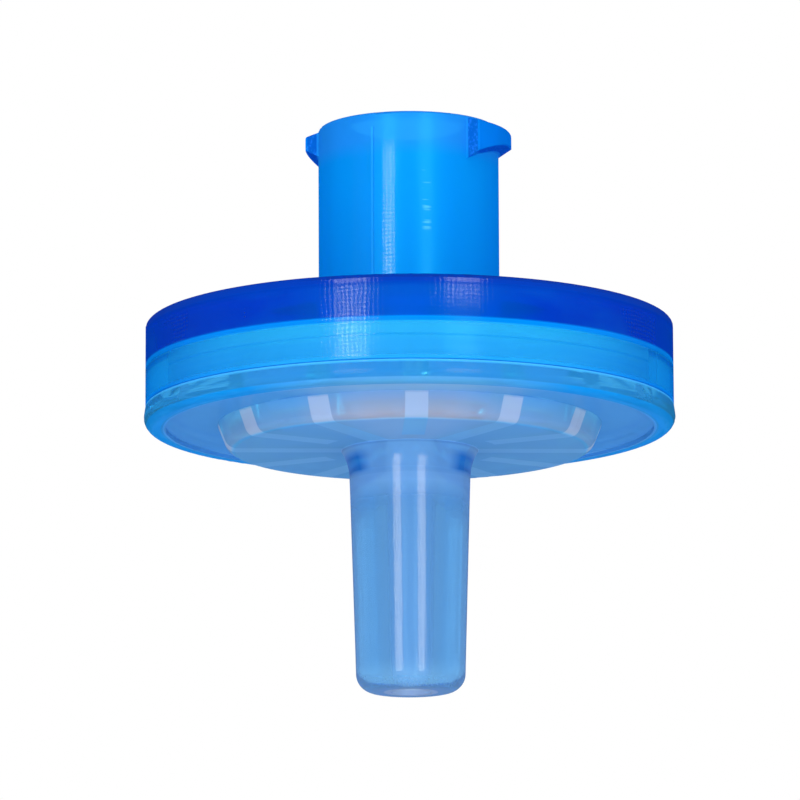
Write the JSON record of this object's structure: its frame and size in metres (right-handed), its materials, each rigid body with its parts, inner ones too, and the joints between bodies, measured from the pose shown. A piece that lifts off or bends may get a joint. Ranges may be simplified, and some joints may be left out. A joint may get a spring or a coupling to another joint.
{
  "type": "syringe filter",
  "caption": "Small round disc filter with a lugged female Luer inlet above and a tapered male Luer outlet nozzle below.",
  "frame": {"origin": "centre of the inlet mouth, on the filter's axis", "axes": "+Z along the filter's axis out of the inlet mouth, the two Luer lock lugs on the X axis"},
  "size_m": [0.0197, 0.0198, 0.0212],
  "materials": {
    "blue_housing": "glossy, see-through blue",
    "membrane": "matt white porous film",
    "clear_housing": "glossy, see-through pale blue"
  },
  "bodies": {
    "root": {"inlet_housing": "blue_housing", "membrane": "membrane", "outlet_housing": "clear_housing"}
  },
  "joints": []
}
